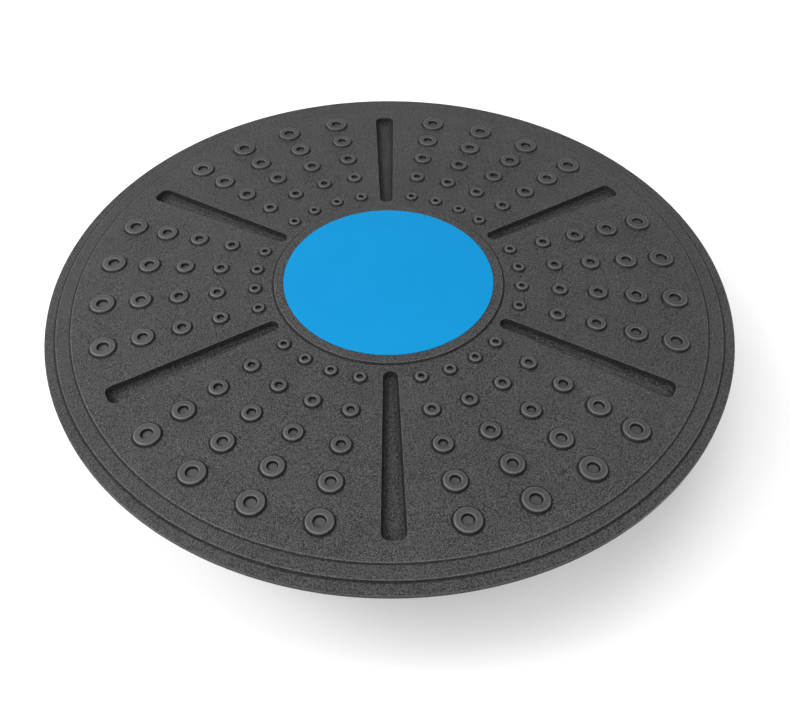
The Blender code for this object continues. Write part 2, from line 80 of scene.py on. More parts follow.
# Deck, top side.
DECK_RADIUS = deck_high.x
RECESS_CLEARANCE = 0.12         # hairline round the inlay
RECESS_GAP = 0.3                # under the inlay
INLAY_PROUD = 0.2
CROWN_HEIGHT = 5.0
RIM_THICKNESS = 3.7
RIM_EASE = 0.8
RIM_LOWER_EASE = 0.3
RIM_SIDE_SHADE = -0.35          # edge mark of the painted shade on the rim's side
RIM_SHADE_HEIGHT = 1.3                 # how far the painted shade on the lower corner reaches up the side
RIM_SHADE_FADE = 0.3             # height over which that painted shade fades
RIM_SHADE_MARGIN = 0.1           # takes in the ring at that painted shade's upper end
OUTER_TERRACE_WIDTH = 5.3
RING_TERRACE_WIDTH = 7.8
OUTER_STEP = 0.8
INNER_STEP = 0.6
STEP_RUN = 0.4
STEP_EASE = 1.1
STEP_FOOT = 0.12
STEP_SHADE_REACH = 0.4                # how far the painted shade at a step's foot reaches out at full strength
PLATEAU_BORDER = 5.5
PLATEAU_STEP = 0.9
RECESS_LIP_EASE = 0.15
RECESS_BORDER = 6.0             # plain band of its floor inside the wall
STEP_APPROACH = 1.0             # plain band before the outer step
STEP_SHADE_RING_SHARE = 1.5           # of the reach of a step's painted shade: the first ring past a step gets painted shade
RIM_LEAD = 4.0                  # sets the direction into the rim's corners, not built itself

SECTOR_COUNT = 6
SECTOR = 2 * math.pi / SECTOR_COUNT
GROOVE_INSET = 4.0
GROOVE_MARGIN = 10.4
GROOVE_INNER_WIDTH = 7.2
GROOVE_OUTER_WIDTH = 11.1
GROOVE_DEPTH = 4.5
GROOVE_DRAFT = 0.7
GROOVE_LIP_EASE = 0.45
GROOVE_FLOOR_EASE = 2.85
GROOVE_FLOOR_SHADE = -0.45            # edge mark of the painted shade on its floor
GROOVE_FLOOR_SHARE = 0.75       # of its depth, where the floor begins
GROOVE_BORDER = 0.9             # plain band round its mouth
GROOVE_KEEL = 0.4               # half of the flat left along its narrow end
GROOVE_WALL = 2.8
GROOVE_BACK_INSET = 0.9         # of its back, from the full thickness of the wall

NUB_FIRST_INSET = 9.5
NUB_PITCH = 20.0
NUB_RINGS = 5
NUB_STEP_ANGLE = math.radians(12.0)
NUB_DIAMETER = 7.4              # first ring
NUB_GROWTH = 0.081              # for each millimetre of radius
NUB_HOLE = 2.6
NUB_HOLE_GROWTH = 0.0425
NUB_DRAFT = 0.5
NUB_FLOOR_RISE = -0.3           # bottom of its hole, from the field; deeper than in CAD
NUB_HOLE_TAPER = 0.85           # bottom of its hole against the top
NUB_HOLE_CENTRE = 0.4           # innermost loop of the hole's bottom, against its top
NUB_HOLE_FOOT_EASE = 0.25
NUB_FOOT_EASE = 0.2
NUB_EDGE_EASE = 1.5
NUB_HOLE_EASE = 0.9
NUB_GRAIN = 0.25                # strength of the leather grain on a nub
NUB_SHADE_REACH = 0.6                 # how far the painted shade round a nub's foot reaches out

# Deck, underside.
SKIN = 3.5
SEAT_DROP = 7.0
SOCKET_CLEARANCE = 0.4
SOCKET_WALL = 2.5
RIB = 2.2
RIB_END_RISE = 0.5              # lower edge of a rib's outer end, above the rim's underside
HUB_RADIUS = 10.0
BOSS_WALL = 3.0
PILOT_DEPTH = 0.3               # past the screw's tip
PILOT_REACH = 1.0               # round a screw hole, where its wall is worked out
WALL_EASE = 0.35                # rounding of a moulded wall's free edge
WALL_RUN = 0.15                 # how far its side leans out on the way to its foot
WALL_FOOT = 0.5

# Inlay.
INLAY_BORDER = 3.0              # plain band of its top inside the eased edge
INLAY_EASE = 0.25
INLAY_LOWER_EASE = 0.1

# Dome and pad.
DOME_RADIUS = 85.0
FOOT_RADIUS = 18.0
DOME_WALL = 3.0
FLANGE_THICKNESS = 4.0
FLANGE_EASE = 1.0
FLANGE_LEAD = 3.0               # sets the direction into its corners, not built itself
FLANGE_ROOT_EASE = 1.2
DOME_RIB = 2.5
DOME_RIB_SETBACK = 0.5
DOME_RING_RADIUS = 45.0
POST_RADIUS = 8.5
POST_WALL = 2.5
PAD_THICKNESS = 2.5
PAD_GROOVES = 3
PAD_GROOVE_WIDTH = 3.0
PAD_GROOVE_DEPTH = 1.0
PAD_GROOVE_EASE = 0.5
PAD_GROOVE_FLOOR_EASE = 0.3
PAD_EASE = 0.6
PEG_RADIUS = 4.5
PEG_HEAD_RADIUS = 7.0
PEG_HEAD_HEIGHT = 3.0
PEG_TIP_EASE = 0.5
PEG_HEAD_EASE = 0.3
GAP = 0.3

# Screws.
SCREW_CORE = 1.5
SCREW_SHANK = 1.8
SCREW_TIP = 0.6
SCREW_POINT = 2.0
THREAD_PITCH = 1.6
THREAD_START = 1.2              # under the head
HEAD_HEIGHT = 2.5
HEAD_EASE = 1.3
HEAD_EASE_SHARE = 0.999         # keeps the end of its arc apart from the flat's edge
HEAD_SEAT_EASE = 0.3
HEAD_RING = 0.3                 # plain ring at the edge of the head's flat
THREAD_ROWS = 8                 # loops to a pitch
THREAD_FLANK = 0.3              # share of the pitch from root to crest
SCREW_SHARP_ANGLE = math.radians(40)
RECESS_SPAN = 4.0
RECESS_WIDTH = 0.9
RECESS_DEPTH = 1.2
RECESS_TAPER = 0.15
HOLE_CHAMFER = 0.3

# Numbers of points.
ROUND = 240                     # round the deck, the dome and the pad
NUB_ROUND = (22, 24, 28, 30, 32)
GROOVE_END = 14
GROOVE_SIDE = 16
GROOVE_EASE_STEPS = 6           # to a quarter turn of an eased corner
HOLE_ROUND = 24
SHELL_LOOPS = 18
LEDGE_LOOPS = 16
INSIDE_LOOPS = 26
FILL_PITCH = 4.5
FILL_CLEARANCE = 2.0            # from the nubs and grooves

PAINTED_SHADE = -1.0                    # edge mark of the painted shade on walls and in the corners at their feet

# Levels and radii that follow from the sizes above and from the frame.
INLAY_RADIUS = inlay_high.x
SHELF_Z = inlay_high.z - INLAY_PROUD
RECESS_Z = inlay_low.z - RECESS_GAP
PLATEAU_RADIUS = INLAY_RADIUS + PLATEAU_BORDER
RIM_TOP_Z = SHELF_Z - CROWN_HEIGHT
RIM_BOTTOM_Z = RIM_TOP_Z - RIM_THICKNESS
RING_TERRACE_Z = RIM_TOP_Z + OUTER_STEP
FIELD_OUTER_Z = RING_TERRACE_Z + INNER_STEP
FIELD_INNER_Z = SHELF_Z - PLATEAU_STEP
RING_TERRACE_RADIUS = DECK_RADIUS - OUTER_TERRACE_WIDTH
FIELD_RADIUS = RING_TERRACE_RADIUS - RING_TERRACE_WIDTH
GROOVE_START = PLATEAU_RADIUS + GROOVE_INSET
GROOVE_STOP = FIELD_RADIUS - GROOVE_MARGIN
NUB_FIRST_RADIUS = PLATEAU_RADIUS + NUB_FIRST_INSET
NUB_HEIGHT = deck_high.z - FIELD_INNER_Z + NUB_FIRST_INSET * (
    FIELD_INNER_Z - FIELD_OUTER_Z) / (FIELD_RADIUS - PLATEAU_RADIUS)
UNDERSIDE_Z = RECESS_Z - SKIN
SEAT_Z = UNDERSIDE_Z - SEAT_DROP
FLANGE_RADIUS = dome_high.x
FLANGE_TOP_Z = dome_high.z
FLANGE_BOTTOM_Z = FLANGE_TOP_Z - FLANGE_THICKNESS
SOCKET_RADIUS = FLANGE_RADIUS + SOCKET_CLEARANCE
SOCKET_OUTER = SOCKET_RADIUS + SOCKET_WALL
OUTER_RING_RADIUS = (SOCKET_OUTER + FIELD_RADIUS) / 2
SCREW_CIRCLE = (screw_low.x + screw_high.x) / 2
SCREW_HEAD_RADIUS = (screw_high.x - screw_low.x) / 2
SCREW_TIP_Z = screw_high.z
SCREW_HEAD_Z = screw_low.z
SCREW_SEAT_Z = SCREW_HEAD_Z + HEAD_HEIGHT
SCREW_HOLE = SCREW_HEAD_RADIUS / 2 + GAP
BOSS_RADIUS = SCREW_HOLE + BOSS_WALL
SPHERE_Z = math.sqrt(DOME_RADIUS ** 2 - FOOT_RADIUS ** 2)
SHELL_RADIUS = DOME_RADIUS - PAD_THICKNESS - GAP
INNER_RADIUS = SHELL_RADIUS - DOME_WALL
SHELL_FLOOR_Z = dome_low.z
INNER_FLOOR_Z = SHELL_FLOOR_Z + DOME_WALL
STEP_Z = pad_high.z + GAP
PEG_HOLE = PEG_RADIUS + GAP
DOME_RIB_Z = FLANGE_TOP_Z - DOME_RIB_SETBACK


# Sections: lists of (across, up, edge). The edge is 0 on a straight, 1 in the middle of an outer
# rounding, where the section turns right, and -1 in the middle of an inner one.

# The deck's and the dome's materials paint a highlight where the edge mark is above 0 and shade
# where it is below 0.
def eased(corners, steps=4):
    """Turn (across, up, radius) corners into a section, each corner eased to an arc."""
    section = []
    for i, (across, up, radius) in enumerate(corners):
        if radius == 0 or i in (0, len(corners) - 1):
            section.append((across, up, 0.0))
            continue
        here = Vector((across, up))
        back = (Vector(corners[i - 1][:2]) - here).normalized()
        on = (Vector(corners[i + 1][:2]) - here).normalized()
        half = back.angle(on) / 2
        centre = here + (back + on).normalized() * (radius / math.sin(half))
        spoke = here + back * (radius / math.tan(half)) - centre
        turn = math.pi - 2 * half
        side = 1.0
        if back.cross(on) < 0:
            side = -1.0
        turn = -side * turn
        count = max(2, round(steps * abs(turn) / (math.pi / 2)))
        for k in range(count + 1):
            x, y = centre + Matrix.Rotation(turn * k / count, 2) @ spoke
            section.append((x, y, side * math.sin(math.pi * k / count)))
    return section


def with_painted_shade(section):
    """The section with painted shade marked on its walls and on the corners below them."""
    marked = []
    for i, (across, up, edge) in enumerate(section):
        nearby = section[max(0, i - 1):i + 2]
        steep = any(abs(b[1] - a[1]) > abs(b[0] - a[0]) for a, b in zip(nearby, nearby[1:]))
        marked.append((across, up, PAINTED_SHADE if steep or edge < 0 else edge))
    return marked


def sphere_arc(radius, low, high, steps):
    """(across, up, 0) corners along a sphere of the dome, from one level to another."""
    first = math.acos((SPHERE_Z - low) / radius)
    last = math.acos((SPHERE_Z - high) / radius)
    angles = [first + (last - first) * i / steps for i in range(steps + 1)]
    return [(radius * math.sin(a), SPHERE_Z - radius * math.cos(a), 0) for a in angles]


def polar(radius, angle, centre=(0.0, 0.0)):
    return (centre[0] + radius * math.cos(angle), centre[1] + radius * math.sin(angle))


def circle(radius, count=ROUND, centre=(0.0, 0.0)):
    return [polar(radius, 2 * math.pi * i / count, centre) for i in range(count)]


class Shell:
    """Points, faces and surface marks of one closed piece, in millimetres."""

    def __init__(self):
        self.points, self.faces, self.marks = [], [], []

    def add(self, points, faces, marks):
        first = len(self.points)
        self.points += points
        self.marks += marks
        self.faces += [[first + i for i in face] for face in faces]

    def bridge(self, loops, marks):
        """Join equal loops of points, each to the next, with bands of four-sided faces."""
        count = len(loops[0])
        faces = []
        for row in range(len(loops) - 1):
            for i in range(count):
                j = (i + 1) % count
                here, there = row * count, (row + 1) * count
                faces.append((here + i, there + i, there + j, here + j))
        self.add([p for loop in loops for p in loop], faces,
                 [mark for mark in marks for _ in range(count)])

    def turn(self, section, count=ROUND, centre=(0.0, 0.0), grain=1.0):
        """Turn a section about an upright axis. It runs down the outer side of the piece."""
        loops = [[(x, y, z) for x, y in circle(r, count, centre)] for r, z, _ in section]
        self.bridge(loops, [(grain, edge) for _, _, edge in section])

    def mesh(self, name):
        mesh = bpy.data.meshes.new(name)
        mesh.from_pydata([[c * MM for c in p] for p in self.points], [], self.faces)
        for i, key in enumerate(("grain", "edge")):
            layer = mesh.attributes.new(key, "FLOAT", "POINT")
            layer.data.foreach_set("value", [mark[i] for mark in self.marks])
        bm = bmesh.new()
        bm.from_mesh(mesh)
        bmesh.ops.remove_doubles(bm, verts=bm.verts, dist=WELD)
        bm.to_mesh(mesh)
        bm.free()
        mesh.shade_smooth()
        return mesh


class Relief:
    """One side of a piece as a sheet over the plan: loops and points, each with its level."""

    def __init__(self, level):
        self.level = level          # gives the level of a point that has none of its own
        self.plan, self.levels, self.marks = [], [], []
        self.links, self.holes = [], []

    def add(self, points, levels=None, grain=1.0, edge=0.0, linked=True):
        first, count = len(self.plan), len(points)
        self.plan += points
        self.levels += levels or [self.level(x, y) for x, y in points]
        self.marks += [(grain, edge)] * count
        if linked:
            self.links += [(first + i, first + (i + 1) % count) for i in range(count)]

    def rings(self, section, count=ROUND, grain=1.0):
        """Circles about the board's axis, at a section's radii and levels."""
        for radius, up, edge in section:
            self.add(circle(radius, count), [up] * count, grain, edge)

    def hole(self, radius, centre, count, grain=1.0):
        self.add(circle(radius, count, centre), None, grain)
        self.holes.append((radius, centre))

    def in_hole(self, points):
        x = sum(p[0] for p in points) / len(points)
        y = sum(p[1] for p in points) / len(points)
        return any(math.hypot(x - c[0], y - c[1]) < radius for radius, c in self.holes)

    def add_to(self, shell, upward):
        coords = [Vector(p) for p in self.plan]
        plan, _, faces, sources, _, _ = delaunay_2d_cdt(coords, self.links, [], 0, PLAN_TOLERANCE,
                                                           True)
        points, marks = [], []
        for (x, y), source in zip(plan, sources):
            if source:
                points.append((*self.plan[source[0]], self.levels[source[0]]))
                marks.append(self.marks[source[0]])
            else:
                points.append((x, y, self.level(x, y)))
                marks.append((1.0, 0.0))
        if self.holes:
            faces = [f for f in faces if not self.in_hole([points[i] for i in f])]
        shell.add(points, faces if upward else [f[::-1] for f in faces], marks)


# The deck's top.

def field_level(x, y):
    share = (math.hypot(x, y) - PLATEAU_RADIUS) / (FIELD_RADIUS - PLATEAU_RADIUS)
    return FIELD_INNER_Z + share * (FIELD_OUTER_Z - FIELD_INNER_Z)


def groove_outline(widening, angle):
    """Tapered slot on a radius: the hull of one circle at its inner end and two at its outer."""
    corner = GROOVE_INNER_WIDTH / 2
    spread = (GROOVE_OUTER_WIDTH - GROOVE_INNER_WIDTH) / 2
    inner_x = GROOVE_START + corner
    outer_x = GROOVE_STOP - corner
    square_on = math.pi / 2 + math.atan2(spread, outer_x - inner_x)
    points = []
    for x, y, first, last, count in (
        (inner_x, 0.0, square_on, 2 * math.pi - square_on, GROOVE_END),
        (outer_x, -spread, -square_on, 0.0, GROOVE_END // 2),
        (outer_x, spread, 0.0, square_on, GROOVE_END // 2),
    ):
        points += [polar(corner + widening, first + (last - first) * i / count, (x, y))
                   for i in range(count + 1)]
    return [spun(p, angle) for p in with_side_points(points)]


def with_side_points(points):
    """The outline with points added along its two long sides."""
    full = []
    for here, there in zip(points, points[1:] + points[:1]):
        full.append(here)
        if math.dist(here, there) > (GROOVE_STOP - GROOVE_START) / 2:
            full += [tuple(Vector(here).lerp(Vector(there), i / GROOVE_SIDE))
                     for i in range(1, GROOVE_SIDE)]
    return full


def spun(point, angle):
    x, y = point
    return (x * math.cos(angle) - y * math.sin(angle), x * math.sin(angle) + y * math.cos(angle))


def nub_places():
    """Radius, angle and ring number of every nub."""
    for ring in range(NUB_RINGS):
        for sector in range(SECTOR_COUNT):
            for step in (-2, -1, 1, 2):
                angle = (sector + 0.5) * SECTOR + step * NUB_STEP_ANGLE
                yield NUB_FIRST_RADIUS + ring * NUB_PITCH, angle, ring


def nub_radii(radius):
    """Outer radius of a nub at its foot, and of its hole at its top."""
    growth = radius - NUB_FIRST_RADIUS
    return (NUB_DIAMETER + NUB_GROWTH * growth) / 2, (NUB_HOLE + NUB_HOLE_GROWTH * growth) / 2


def add_nub(top, radius, angle, count):
    foot, hole = nub_radii(radius)
    centre = polar(radius, angle)
    base = field_level(*centre)
    section = with_painted_shade(eased([
        (hole * NUB_HOLE_CENTRE, NUB_FLOOR_RISE, 0),
        (hole * NUB_HOLE_TAPER, NUB_FLOOR_RISE, NUB_HOLE_FOOT_EASE),
        (hole, NUB_HEIGHT, NUB_HOLE_EASE),
        (foot - NUB_DRAFT, NUB_HEIGHT, NUB_EDGE_EASE),
        (foot, 0.0, NUB_FOOT_EASE),
        (foot + NUB_SHADE_REACH, 0.0, 0),
    ]))
    for across, up, edge in section:
        points = circle(across, count, centre)
        share = up / NUB_HEIGHT
        levels = [up + share * base + (1 - share) * field_level(*p) for p in points]
        top.add(points, levels, NUB_GRAIN if across < foot else 1.0, edge)
    top.add([centre], [field_level(*centre) + NUB_FLOOR_RISE], NUB_GRAIN, linked=False)


def add_groove(top, angle):
    section = with_painted_shade(eased([
        (GROOVE_BORDER, 0.0, 0),
        (0.0, 0.0, GROOVE_LIP_EASE),
        (-GROOVE_DRAFT, -GROOVE_DEPTH, GROOVE_FLOOR_EASE),
        (GROOVE_KEEL - GROOVE_INNER_WIDTH / 2, -GROOVE_DEPTH, 0),
    ][::-1], GROOVE_EASE_STEPS))[::-1]
    for across, up, edge in section:
        points = groove_outline(across, angle)
        levels = [field_level(*p) + up for p in points]
        # painted shade on the groove's floor
        if up < -GROOVE_FLOOR_SHARE * GROOVE_DEPTH:
            edge = max(edge, GROOVE_FLOOR_SHADE)
        top.add(points, levels, 1.0, edge)


def clear_of_features(x, y):
    """Whether a loose point of the field keeps away from the nubs and grooves."""
    radius = math.hypot(x, y)
    turn = math.atan2(y, x) % SECTOR - SECTOR / 2
    along, across = radius * math.cos(turn), abs(radius * math.sin(turn))
    beside_groove = across < GROOVE_OUTER_WIDTH / 2 + FILL_CLEARANCE
    if beside_groove and along > GROOVE_START - FILL_CLEARANCE:
        return along > GROOVE_STOP + FILL_CLEARANCE
    ring = round((radius - NUB_FIRST_RADIUS) / NUB_PITCH)
    if not 0 <= ring < NUB_RINGS:
        return True
    ring_radius = NUB_FIRST_RADIUS + ring * NUB_PITCH
    step = max(1, min(2, round(abs(turn) / NUB_STEP_ANGLE)))
    centre = polar(ring_radius, math.copysign(step * NUB_STEP_ANGLE, turn))
    foot, _ = nub_radii(ring_radius)
    return math.dist(centre, polar(radius, turn)) > foot + FILL_CLEARANCE


def field_fill():
    rows = round((FIELD_RADIUS - PLATEAU_RADIUS) / FILL_PITCH)
    for row in range(1, rows):
        radius = PLATEAU_RADIUS + (FIELD_RADIUS - PLATEAU_RADIUS) * row / rows
        count = SECTOR_COUNT * round(SECTOR * radius / FILL_PITCH)
        for i in range(count):
            point = polar(radius, 2 * math.pi * (i + row % 2 / 2) / count)
            if clear_of_features(*point):
                yield point


def rim_section():
    """The deck's outer edge, with painted shade on its side and most of all along its lower
    corner.
    """
    corner_top = RIM_BOTTOM_Z + RIM_SHADE_HEIGHT
    section = eased([
        (DECK_RADIUS - RIM_LEAD, RIM_TOP_Z, 0),
        (DECK_RADIUS, RIM_TOP_Z, RIM_EASE),
        (DECK_RADIUS, corner_top + RIM_SHADE_FADE, 0),
        (DECK_RADIUS, corner_top, 0),
        (DECK_RADIUS, RIM_BOTTOM_Z, RIM_LOWER_EASE),
        (DECK_RADIUS - RIM_LEAD, RIM_BOTTOM_Z, 0),
    ])[1:-1]
    marked = []
    for across, up, _ in section:
        edge = 0.0
        if up < RIM_TOP_Z - RIM_EASE / 4:
            edge = RIM_SIDE_SHADE
        if up < corner_top + RIM_SHADE_MARGIN:
            edge = PAINTED_SHADE
        marked.append((across, up, edge))
    return marked


def add_deck_top(shell):
    recess = INLAY_RADIUS + RECESS_CLEARANCE
    approach = FIELD_RADIUS - STEP_RUN - STEP_APPROACH
    top = Relief(field_level)
    section = with_painted_shade(eased([
        (recess - RECESS_BORDER, RECESS_Z, 0),
        (recess - WALL_RUN, RECESS_Z, 0),
        (recess, SHELF_Z, RECESS_LIP_EASE),
        (PLATEAU_RADIUS - STEP_RUN, SHELF_Z, STEP_EASE),
        (PLATEAU_RADIUS, FIELD_INNER_Z, STEP_FOOT),
        (PLATEAU_RADIUS + STEP_SHADE_REACH, field_level(PLATEAU_RADIUS + STEP_SHADE_REACH, 0), 0),
        (PLATEAU_RADIUS + 2 * STEP_SHADE_REACH, field_level(PLATEAU_RADIUS + 2 * STEP_SHADE_REACH, 0), 0),
        (approach, field_level(approach, 0), 0),
        (FIELD_RADIUS - STEP_RUN, FIELD_OUTER_Z, STEP_EASE),
        (FIELD_RADIUS, RING_TERRACE_Z, STEP_FOOT),
        (FIELD_RADIUS + STEP_SHADE_REACH, RING_TERRACE_Z, 0),
        (FIELD_RADIUS + 2 * STEP_SHADE_REACH, RING_TERRACE_Z, 0),
        (RING_TERRACE_RADIUS - STEP_RUN, RING_TERRACE_Z, STEP_EASE),
        (RING_TERRACE_RADIUS, RIM_TOP_Z, STEP_FOOT),
        (RING_TERRACE_RADIUS + STEP_SHADE_REACH, RIM_TOP_Z, 0),
        (RING_TERRACE_RADIUS + 2 * STEP_SHADE_REACH, RIM_TOP_Z, 0),
        (DECK_RADIUS - RIM_EASE, RIM_TOP_Z, 0),
    ]))
    for across, up, edge in section:
        # rings just past a step's foot get painted shade
        in_step_shade = any(0 < across - foot < STEP_SHADE_RING_SHARE * STEP_SHADE_REACH
                    for foot in (PLATEAU_RADIUS, FIELD_RADIUS, RING_TERRACE_RADIUS))
        top.rings([(across, up, PAINTED_SHADE if in_step_shade else edge)])
    for i in range(SECTOR_COUNT):
        add_groove(top, (i + 0.5) * SECTOR)
    for radius, angle, ring in nub_places():
        add_nub(top, radius, angle, NUB_ROUND[ring])
    top.add(list(field_fill()), linked=False)
    top.add_to(shell, upward=True)


# Moulded walls and ribs, used by the deck's underside and the dome's inside.

WALL_LOOPS = (-WALL_EASE, 0.0, WALL_RUN, WALL_RUN + WALL_FOOT)


def wall_level(distance, level, base):
    """Level near a wall's face: the wall's own inside it, and the base outside it."""
    middle = (level + base) / 2
    if distance <= 0:
        ease = min(WALL_EASE, abs(level - middle))
        share = max(0.0, 1 + distance / WALL_EASE)
        return level + math.copysign(ease * share, base - level)
    foot = base + math.copysign(min(WALL_FOOT, abs(base - middle)), level - base)
    if distance <= WALL_RUN:
        edge = level + math.copysign(min(WALL_EASE, abs(level - middle)), base - level)
        return edge + (foot - edge) * distance / WALL_RUN
    return foot + (base - foot) * min(1.0, (distance - WALL_RUN) / WALL_FOOT)


def bar_distance(radius, turn, start, stop, half):
    """Distance from a point to the side or end of a bar that lies on a radius."""
    along, across = radius * math.cos(turn), abs(radius * math.sin(turn))
    return max(across - half, start - along, along - stop)


def add_ring_wall(relief, inner, outer):
    for widening in WALL_LOOPS:
        for radius in (inner - widening, outer + widening):
            if radius > 0:
                relief.add(circle(radius))


def add_bar(relief, start, stop, half, angle):
    for widening in WALL_LOOPS:
        low, high, side = start - widening, stop + widening, half + widening
        corners = [(low, -side), (high, -side), (high, side), (low, side)]
        relief.add([spun(c, angle) for c in corners])


# The deck's underside.

def skin_level(radius):
    """Underside of the deck's skin, without its ribs."""
    falls = (
        (0.0, UNDERSIDE_Z),
        (SOCKET_OUTER, field_level(SOCKET_OUTER, 0) - SKIN),
        (FIELD_RADIUS, FIELD_OUTER_Z - SKIN),
        (RING_TERRACE_RADIUS, RIM_BOTTOM_Z),
        (DECK_RADIUS, RIM_BOTTOM_Z),
    )
    for (near, high), (far, low) in zip(falls, falls[1:]):
        if radius <= far:
            return high + (low - high) * (radius - near) / (far - near)
    return RIM_BOTTOM_Z


def rib_level(radius):
    """Lower edge of the outer ribs, which rises from the socket towards the rim."""
    share = (radius - SOCKET_RADIUS) / (FIELD_RADIUS - SOCKET_RADIUS)
    return deck_low.z + share * (RIM_BOTTOM_Z + RIB_END_RISE - deck_low.z)


def slot_distance(along, across):
    """Distance outwards from a groove's outline, for a point beside its centre line."""
    corner = GROOVE_INNER_WIDTH / 2
    spread = (GROOVE_OUTER_WIDTH - GROOVE_INNER_WIDTH) / 2
    inner_x, outer_x = GROOVE_START + corner, GROOVE_STOP - corner
    if inner_x < along < outer_x and across < spread * (along - inner_x) / (outer_x - inner_x):
        return -corner
    point = Vector((along, across))
    ends = (Vector((inner_x, 0)), Vector((outer_x, spread)), Vector((outer_x, 0)))
    nearest = math.inf
    for a, b in zip(ends, ends[1:]):
        share = max(0.0, min(1.0, (point - a).dot(b - a) / (b - a).length_squared))
        nearest = min(nearest, (point - a.lerp(b, share)).length)
    return nearest - corner


def underside_level(x, y):
    """Lowest of the skin and everything that hangs from it, in a sector folded to its half."""
    radius = math.hypot(x, y)
    turn = math.atan2(y, x) % SECTOR
    turn = min(turn, SECTOR - turn)                     # 0 on a screw's line
    base = skin_level(radius)
    hanging = rib_level(radius)
    boss = math.dist(polar(radius, turn), (SCREW_CIRCLE, 0))
    slot = slot_distance(*(abs(c) for c in polar(radius, turn - SECTOR / 2)))
    walls = [
        (radius - HUB_RADIUS, SEAT_Z),
        (abs(radius - PLATEAU_RADIUS) - RIB / 2, SEAT_Z),
        (abs(radius - (SOCKET_RADIUS + SOCKET_OUTER) / 2) - SOCKET_WALL / 2, deck_low.z),
        (abs(radius - OUTER_RING_RADIUS) - RIB / 2, hanging),
        (bar_distance(radius, turn, 0, SOCKET_RADIUS, RIB / 2), SEAT_Z),
        (bar_distance(radius, turn - SECTOR / 2, 0, PLATEAU_RADIUS, RIB / 2), SEAT_Z),
        (bar_distance(radius, turn, SOCKET_RADIUS, FIELD_RADIUS, RIB / 2), hanging),
        (bar_distance(radius, turn - SECTOR / 4, SOCKET_RADIUS, FIELD_RADIUS, RIB / 2), hanging),
        (boss - BOSS_RADIUS, SEAT_Z),
        (slot - GROOVE_WALL + GROOVE_BACK_INSET, field_level(x, y) - GROOVE_DEPTH - GROOVE_WALL),
    ]
    level = min(base, *(wall_level(d, low, base) for d, low in walls))
    if boss >= SCREW_HOLE + PILOT_REACH:
        return level
    return max(level, wall_level(boss - SCREW_HOLE, SCREW_TIP_Z + PILOT_DEPTH, SEAT_Z))


def add_deck_underside(shell):
    under = Relief(underside_level)
    add_ring_wall(under, -1, HUB_RADIUS)
    add_ring_wall(under, PLATEAU_RADIUS - RIB / 2, PLATEAU_RADIUS + RIB / 2)
    add_ring_wall(under, SOCKET_RADIUS, SOCKET_OUTER)
    add_ring_wall(under, OUTER_RING_RADIUS - RIB / 2, OUTER_RING_RADIUS + RIB / 2)
    for radius in (FIELD_RADIUS, RING_TERRACE_RADIUS, DECK_RADIUS - RIM_LOWER_EASE):
        under.add(circle(radius))
    for i in range(2 * SECTOR_COUNT):
        angle = i * SECTOR / 2
        on_screw = i % 2 == 0
        add_bar(under, 0, SOCKET_RADIUS if on_screw else PLATEAU_RADIUS, RIB / 2, angle)
        if on_screw:
            add_bar(under, SOCKET_RADIUS, FIELD_RADIUS, RIB / 2, angle)
            centre = polar(SCREW_CIRCLE, angle)
            for widening in WALL_LOOPS:
                under.add(circle(BOSS_RADIUS + widening, HOLE_ROUND, centre))
                under.add(circle(SCREW_HOLE + widening, HOLE_ROUND, centre))
        else:
            for widening in WALL_LOOPS:
                under.add(groove_outline(GROOVE_WALL - GROOVE_BACK_INSET + widening, angle))
        add_bar(under, SOCKET_RADIUS, FIELD_RADIUS, RIB / 2, angle + SECTOR / 4)
    under.add_to(shell, upward=False)


def make_deck():
    shell = Shell()
    add_deck_top(shell)
    shell.turn(rim_section())
    add_deck_underside(shell)
    return shell.mesh("deck_moulding")


# The other pieces.

def make_inlay():
    shell = Shell()
    low, high = inlay_low.z, inlay_high.z
    shell.turn(eased([
        (0, high, 0),
        (INLAY_RADIUS - INLAY_BORDER, high, 0),
        (INLAY_RADIUS, high, INLAY_EASE),
        (INLAY_RADIUS, low, INLAY_LOWER_EASE),
        (0, low, 0),
    ]))
    return shell.mesh("inlay_disc")


def inner_base(radius):
    """Inside of the dome's shell and the top of its flange, without the webs."""
    if radius >= INNER_RADIUS:
        return FLANGE_TOP_Z
    sphere = SPHERE_Z - math.sqrt(INNER_RADIUS ** 2 - radius ** 2)
    return min(FLANGE_TOP_Z, max(INNER_FLOOR_Z, sphere))


def dome_inside_level(x, y):
    radius = math.hypot(x, y)
    turn = math.atan2(y, x) % SECTOR
    turn = min(turn, SECTOR - turn)
    base = inner_base(radius)
    half = DOME_RIB / 2
    distances = (
        abs(radius - POST_RADIUS - POST_WALL / 2) - POST_WALL / 2,
        abs(radius - DOME_RING_RADIUS - half) - half,
        bar_distance(radius, turn - SECTOR / 2, POST_RADIUS + half, FLANGE_RADIUS, half),
        bar_distance(radius, turn, DOME_RING_RADIUS + half, FLANGE_RADIUS, half),
    )
    if base >= DOME_RIB_Z:
        return base
    return max(base, *(wall_level(d, DOME_RIB_Z, base) for d in distances))


def flange_edge():
    return eased([
        (FLANGE_RADIUS - FLANGE_LEAD, FLANGE_TOP_Z, 0),
        (FLANGE_RADIUS, FLANGE_TOP_Z, FLANGE_EASE),
        (FLANGE_RADIUS, FLANGE_BOTTOM_Z, FLANGE_EASE),
        (FLANGE_RADIUS - FLANGE_LEAD, FLANGE_BOTTOM_Z, 0),
    ])[1:-1]


def add_screw_holes(relief):
    for i in range(SECTOR_COUNT):
        relief.hole(SCREW_HOLE + HOLE_CHAMFER, polar(SCREW_CIRCLE, i * SECTOR), HOLE_ROUND)


